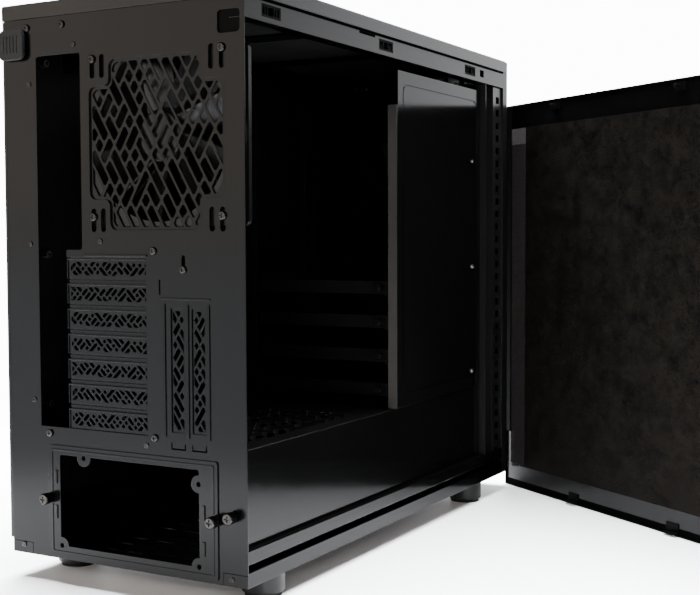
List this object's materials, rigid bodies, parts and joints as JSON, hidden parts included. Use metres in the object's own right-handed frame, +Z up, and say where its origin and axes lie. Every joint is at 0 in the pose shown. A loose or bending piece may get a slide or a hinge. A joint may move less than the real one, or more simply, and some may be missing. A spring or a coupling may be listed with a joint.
{
  "type": "desktop computer tower",
  "caption": "Mid-tower desktop computer chassis with sound-damped side panels, fans, slot covers, a front door and disk trays, one side panel taken off.",
  "frame": {"origin": "on the floor under the middle of the chassis", "axes": "+Z up, +Y out of the rear sheet, -X out of the open left side, the front door faces -Y"},
  "size_m": [0.6568, 0.5595, 0.4758],
  "materials": {
    "chassis_steel": "satin black powder coat",
    "panel_steel": "satin black powder coat",
    "damping_mat": "matt, faintly mottled bitumen sheet",
    "door_foam": "matt open-cell foam",
    "fittings_plastic": "satin",
    "fascia_plastic": "fine grained",
    "fan_plastic": "satin",
    "filter_nylon": "fine nylon mesh",
    "black_screws": "black oxide",
    "standoff_brass": "machined",
    "circuit_board": "solder mask",
    "port_shell": "nickel",
    "foot_plastic": "fine grained",
    "foot_rubber": "matt"
  },
  "bodies": {
    "chassis": {"rear_panel": "chassis_steel", "rear_fan_grille": "chassis_steel", "slot_bracket": "chassis_steel", "slot_cover_1": "chassis_steel", "slot_cover_2": "chassis_steel", "slot_cover_3": "chassis_steel", "slot_cover_4": "chassis_steel", "slot_cover_5": "chassis_steel", "slot_cover_6": "chassis_steel", "slot_cover_7": "chassis_steel", "vertical_slot_cover_1": "chassis_steel", "vertical_slot_cover_2": "chassis_steel", "psu_bracket": "chassis_steel", "rear_thumbscrews": "black_screws", "rear_fasteners": "black_screws", "bottom_pan": "chassis_steel", "lower_rail_left": "chassis_steel", "lower_rail_right": "chassis_steel", "psu_shroud_side": "chassis_steel", "psu_shroud_top": "chassis_steel", "motherboard_tray": "chassis_steel", "board_standoffs": "standoff_brass", "top_panel": "chassis_steel", "top_rail_left": "chassis_steel", "top_rail_right": "chassis_steel", "panel_clip_sockets": "fittings_plastic", "front_post_left": "chassis_steel", "front_post_right": "chassis_steel", "fan_wall": "chassis_steel", "drive_cover_plate": "chassis_steel", "drive_frame": "chassis_steel", "rear_fan_frame": "fan_plastic", "front_fan_frames": "fan_plastic", "front_fascia": "fascia_plastic", "front_filter": "filter_nylon", "front_io_board": "circuit_board", "front_io_ports": "port_shell", "feet": "foot_plastic", "foot_pads": "foot_rubber"},
    "rear_fan_rotor": {"rear_fan_rotor": "fan_plastic"},
    "front_fan_rotor_1": {"front_fan_rotor_1": "fan_plastic"},
    "front_fan_rotor_2": {"front_fan_rotor_2": "fan_plastic"},
    "front_door": {"front_door": "fascia_plastic", "front_door_foam": "door_foam"},
    "power_button": {"power_button": "fascia_plastic"},
    "reset_button": {"reset_button": "fascia_plastic"},
    "top_cap": {"top_cap": "panel_steel", "top_cap_foam": "door_foam"},
    "bottom_filter": {"bottom_filter": "filter_nylon"},
    "left_panel_guide": {"left_panel_guide": "panel_steel"},
    "left_panel": {"left_panel_skin": "panel_steel", "left_panel_mat": "damping_mat", "left_panel_fittings": "fittings_plastic"},
    "right_panel": {"right_panel_skin": "panel_steel", "right_panel_mat": "damping_mat", "right_panel_fittings": "fittings_plastic"},
    "drive_tray_1": {"drive_tray_1": "chassis_steel"},
    "drive_tray_2": {"drive_tray_2": "chassis_steel"},
    "drive_tray_3": {"drive_tray_3": "chassis_steel"},
    "drive_tray_4": {"drive_tray_4": "chassis_steel"}
  },
  "joints": [
    {"name": "left_panel_swing", "type": "hinge", "parent": "chassis", "child": "left_panel_guide", "pos_m": [-0.0758, -0.2439, 0], "axis": [0, 0, 1], "range_deg": [-56.5, 0]},
    {"name": "left_panel_lift", "type": "slide", "parent": "left_panel_guide", "child": "left_panel", "axis": [0, 0, 1], "range_m": [0, 0.032]},
    {"name": "right_panel_swing", "type": "hinge", "parent": "chassis", "child": "right_panel", "pos_m": [0.0758, -0.2439, 0], "axis": [0, 0, -1], "range_deg": [0, 56.5]},
    {"name": "front_door_swing", "type": "hinge", "parent": "chassis", "child": "front_door", "pos_m": [0.0975, -0.269, 0.238], "axis": [0, 0, 1], "range_deg": [0, 98]},
    {"name": "top_cap_lift", "type": "slide", "parent": "chassis", "child": "top_cap", "axis": [0, 0, 1], "range_m": [0, 0.03]},
    {"name": "bottom_filter_slide", "type": "slide", "parent": "chassis", "child": "bottom_filter", "axis": [0, -1, 0], "range_m": [0, 0.2]},
    {"name": "power_button_press", "type": "slide", "parent": "chassis", "child": "power_button", "axis": [0, 0, -1], "range_m": [0, 0.0015], "stiffness_N_per_m": 600, "springref_m": -0.0005},
    {"name": "reset_button_press", "type": "slide", "parent": "chassis", "child": "reset_button", "axis": [0, 0, -1], "range_m": [0, 0.0015], "stiffness_N_per_m": 300, "springref_m": -0.0005},
    {"name": "rear_fan_spin", "type": "hinge", "parent": "chassis", "child": "rear_fan_rotor", "pos_m": [-0.0361, 0.256, 0.363], "axis": [0, 1, 0], "continuous": true},
    {"name": "front_fan_spin_1", "type": "hinge", "parent": "chassis", "child": "front_fan_rotor_1", "pos_m": [0, -0.225, 0.182], "axis": [0, 1, 0], "continuous": true},
    {"name": "front_fan_spin_2", "type": "hinge", "parent": "chassis", "child": "front_fan_rotor_2", "pos_m": [0, -0.225, 0.328], "axis": [0, 1, 0], "continuous": true},
    {"name": "drive_tray_slide_1", "type": "slide", "parent": "chassis", "child": "drive_tray_1", "axis": [0, 1, 0], "range_m": [0, 0.11]},
    {"name": "drive_tray_slide_2", "type": "slide", "parent": "chassis", "child": "drive_tray_2", "axis": [0, 1, 0], "range_m": [0, 0.11]},
    {"name": "drive_tray_slide_3", "type": "slide", "parent": "chassis", "child": "drive_tray_3", "axis": [0, 1, 0], "range_m": [0, 0.11]},
    {"name": "drive_tray_slide_4", "type": "slide", "parent": "chassis", "child": "drive_tray_4", "axis": [0, 1, 0], "range_m": [0, 0.11]}
  ],
  "couplings": [
    {"joint": "left_panel_lift", "follows": "left_panel_swing", "m_per_rad": -0.032349}
  ]
}
